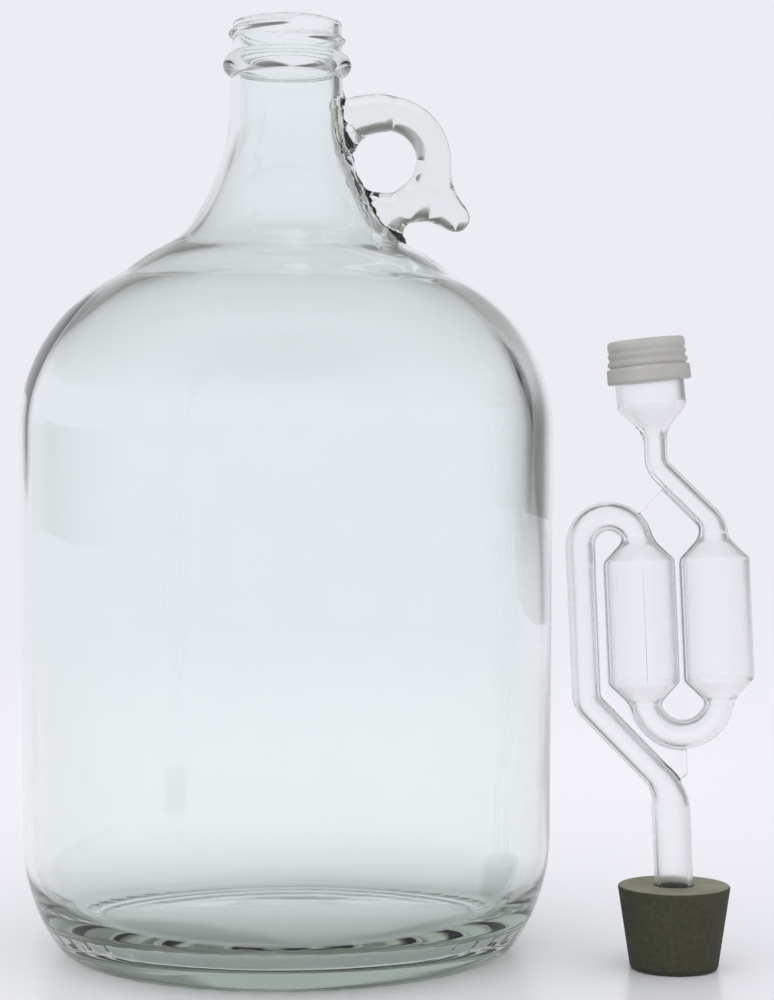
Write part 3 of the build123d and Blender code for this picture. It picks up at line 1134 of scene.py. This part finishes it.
def jug_glass():
    material, tree, shader, output = new_material("clear_blown_glass")
    uneven = noise(tree, scale=60, detail=3)
    feed(tree, shader, {
        "Base Color": ramp(tree, uneven, 0.3, 0.7, *glass_colours),
        "Roughness": spread(tree, uneven, *glass_roughness),
        "Transmission Weight": 1.0,
        "IOR": glass_index,
    })
    swirl = noise(tree, scale=26, detail=1.5, stretch=(1, 1, 0.25))
    add_bump(tree, shader, swirl, height=0.0004, strength=0.6)
    absorb(tree, output, glass_keeps, glass_density)
    light_passes(tree, shader, output, glass_shadow)
    return material


def airlock_plastic():
    material, tree, shader, output = new_material("clear_moulded_plastic")
    feed(tree, shader, {
        "Base Color": (1, 1, 1),
        "Roughness": spread(tree, noise(tree, scale=220, detail=3), *plastic_roughness),
        "Transmission Weight": 1.0,
        "IOR": plastic_index,
    })
    flow = noise(tree, scale=120, detail=2, stretch=(1, 1, 0.4))
    add_bump(tree, shader, flow, height=0.00012, strength=0.5)
    absorb(tree, output, plastic_keeps, plastic_density)
    light_passes(tree, shader, output, plastic_shadow)
    return material


def cap_plastic():
    material, tree, shader, output = new_material("frosted_cap_plastic")
    grain = noise(tree, scale=900, detail=2)
    feed(tree, shader, {
        "Base Color": ramp(tree, noise(tree, scale=160, detail=3), 0.3, 0.7, *cap_colours),
        "Roughness": spread(tree, grain, *cap_roughness),
        "Transmission Weight": cap_transmission,
        "IOR": plastic_index,
    })
    add_bump(tree, shader, grain, height=0.00005, strength=0.5)
    light_passes(tree, shader, output, cap_shadow)
    return material


def bung_rubber():
    material, tree, shader, _ = new_material("dark_olive_rubber")
    speckle = noise(tree, scale=700, detail=4, roughness=0.6)
    patches = noise(tree, scale=90, detail=2)
    side = ramp(tree, speckle, 0.35, 0.7, *rubber_side_colours)
    # Painted light: faces that point up get the lighter top colours, painted as light falling from above
    painted_top_light = ramp(tree, patches, 0.3, 0.7, *rubber_lit_top_colours)
    normal = add_node(tree, "NewGeometry").outputs["Normal"]
    up = add_node(tree, "SeparateXYZ", {"Vector": normal}).outputs["Z"]
    start, end = rubber_lit_top_edge
    painted_light_share = add_node(tree, "MapRange", {"Value": up, "From Min": start, "From Max": end}).outputs["Result"]
    feed(tree, shader, {
        "Base Color": mixed(tree, painted_light_share, side, painted_top_light),
        "Roughness": spread(tree, patches, *rubber_roughness),
        "Specular IOR Level": rubber_specular,
    })
    add_bump(tree, shader, speckle, height=0.00012, strength=0.7)
    return material


def dress(thing, material, body, node):
    thing.data.materials.clear()
    thing.data.materials.append(material)
    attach(thing, body)
    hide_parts(node)


# Floor, surroundings and camera

floor_radius_m = 6.0
floor_sides = 48
floor_drop_m = 0.0002
floor_colour = (0.805, 0.805, 0.84)
floor_roughness = 0.28
floor_specular = 0.35
floor_fade_m = (0.35, 1.6)
background = (0.835, 0.845, 0.895)
wall_colour = (0.44, 0.45, 0.455)
ceiling_colour = (0.16, 0.165, 0.155)
screen_colour = (0.085, 0.09, 0.078)
screen_strength = 0.9
# Degrees of the backdrop's upper edge above the horizon, of its middle part and of its softness
backdrop_top = 46
backdrop_left = 17
backdrop_right = 10
backdrop_middle = 2
backdrop_width = 7
backdrop_lead = 2
backdrop_soft = 9
backdrop_middle_soft = 22
# Degrees between which a soft edge runs, round from behind the object to the right, or up
fall_edge = (0, 9)
fall_end = (180, 114.6)
screen_left = (17, 33)
screen_right = (105, 40)
screen_low = (-9, 1)
screen_high = (20, 4)
front_edge = (75, 110)
front_share = 0.5
ceiling_edge = (18, 42)
lamp_colour = (0.99, 0.99, 1.0)
key_way = (-0.35, -0.45, 1.0)
key_edge = (-0.4, 1.0)
key_strength = 1.0
fill_strength = 0.45


def build_floor():
    """A pale floor that keeps shadows near the object and fades into the surroundings far from it."""
    mesh = bpy.data.meshes.new("floor")
    sheet = bmesh.new()
    bmesh.ops.create_circle(sheet, cap_ends=True, radius=floor_radius_m, segments=floor_sides)
    sheet.to_mesh(mesh)
    sheet.free()
    floor = add_object("floor", mesh)
    floor.location.z = -floor_drop_m
    material, tree, shader, output = new_material("pale_floor")
    feed(tree, shader, {
        "Base Color": floor_colour,
        "Roughness": floor_roughness,
        "Specular IOR Level": floor_specular,
    })
    own = add_node(tree, "TexCoord").outputs["Object"]
    length = add_node(tree, "VectorMath", {0: own}, operation="LENGTH").outputs["Value"]
    fade = soft_edge(tree, length, *floor_fade_m)
    far = add_node(tree, "Emission", {"Color": background}).outputs["Emission"]
    feed(tree, output, {"Surface": mixed_shader(tree, fade, shader.outputs["BSDF"], far)})
    material.cycles.emission_sampling = "NONE"
    mesh.materials.append(material)


def build_surroundings():
    """A pale studio: plain where the camera looks, with darker sides for the edges of the glass."""
    world = bpy.data.worlds.new("studio")
    bpy.context.scene.world = world
    world.use_nodes = True
    tree = world.node_tree
    tree.nodes.clear()
    way = add_node(tree, "TexCoord").outputs["Generated"]
    parts = add_node(tree, "SeparateXYZ", {"Vector": way}).outputs
    azimuth = math_node(tree, "ARCTAN2", parts["X"], parts["Y"])
    elevation = math_node(tree, "ARCSINE", parts["Z"])

    def edge(angle, degrees):
        return soft_edge(tree, angle, *map(math.radians, degrees))

    # A dark screen stands low on the right
    sides = edge(azimuth, screen_left), edge(azimuth, screen_right)
    ends = edge(elevation, screen_low), edge(elevation, screen_high)
    screen = product(tree, *sides, *ends, screen_strength)
    # Above the lit backdrop the room is dim. The backdrop is highest in the middle and lowest on the right
    across = math_node(tree, "SUBTRACT", azimuth, math.radians(backdrop_middle))
    across = math_node(tree, "DIVIDE", across, math.radians(backdrop_width))
    bell = math_node(tree, "EXPONENT", product(tree, across, across, -1))
    rise = product(tree, bell, math.radians(backdrop_top - backdrop_left))
    fall = product(tree, edge(azimuth, fall_edge), edge(azimuth, fall_end))
    fall = product(tree, fall, math.radians(backdrop_left - backdrop_right))
    above = math_node(tree, "SUBTRACT", math_node(tree, "ADD", elevation, fall), rise)
    past = math_node(tree, "SUBTRACT", above, math.radians(backdrop_left - backdrop_lead))
    width = product(tree, bell, math.radians(backdrop_middle_soft))
    width = math_node(tree, "ADD", width, math.radians(backdrop_soft))
    room = soft_edge(tree, math_node(tree, "DIVIDE", past, width), 0, 1)
    front = edge(math_node(tree, "ABSOLUTE", azimuth), front_edge)
    room = product(tree, room, math_node(tree, "SUBTRACT", 1, product(tree, front, front_share)))
    ceiling = mixed(tree, edge(elevation, ceiling_edge), wall_colour, ceiling_colour)
    seen = mixed(tree, screen, mixed(tree, room, background, ceiling), screen_colour)
    # Lamp light comes from a soft side of the world, from above on the left
    toward = Vector(key_way).normalized()
    key = add_node(tree, "VectorMath", {0: way, 1: toward}, operation="DOT_PRODUCT").outputs["Value"]
    lit = product(tree, soft_edge(tree, key, *key_edge), key_strength)
    strength = math_node(tree, "ADD", lit, fill_strength)
    mirrored = add_node(tree, "Background", {"Color": seen}).outputs["Background"]
    plain = add_node(tree, "Background", {"Color": background}).outputs["Background"]
    lamp = add_node(tree, "Background", {"Color": lamp_colour, "Strength": strength}).outputs["Background"]
    rays = add_node(tree, "LightPath").outputs
    glass_rays = math_node(tree, "MAXIMUM", rays["Is Glossy Ray"], rays["Is Transmission Ray"])
    shade = mixed_shader(tree, glass_rays, lamp, mirrored)
    shade = mixed_shader(tree, rays["Is Camera Ray"], shade, plain)
    add_node(tree, "OutputWorld", {"Surface": shade})


# The photograph's viewpoint, and its lens for a frame whose long side has 1000 pixels
camera_x = 2.2
camera_distance = 724.0
camera_height = 149.0
focal_px = 2284.0
long_side_px = 1000.0
horizon_rise_px = 25.0
sensor_width = 36.0


def build_camera():
    data = bpy.data.cameras.new("camera")
    data.sensor_width = sensor_width
    data.lens = focal_px / long_side_px * sensor_width
    camera = add_object("camera", data)
    camera.location = (camera_x * MM, -camera_distance * MM, camera_height * MM)
    camera.rotation_euler = (math.pi / 2 - math.atan(horizon_rise_px / focal_px), 0, 0)
    bpy.context.scene.camera = camera


build_camera()
jug = build_jug()
add_handle(jug)
dress(jug, jug_glass(), "jug_body", "jug")
dress(build_airlock(), airlock_plastic(), "airlock", "airlock_body")
dress(build_cap(), cap_plastic(), "cap", "airlock_cap")
dress(build_bung(), bung_rubber(), "bung_body", "bung")
build_floor()
build_surroundings()

# Light is reflected many times inside the thick glass of the heel and the loop
light_paths = bpy.context.scene.cycles
light_paths.max_bounces = 24
light_paths.transmission_bounces = 24
light_paths.glossy_bounces = 16
light_paths.transparent_max_bounces = 16
bpy.context.scene.view_settings.view_transform = "Standard"
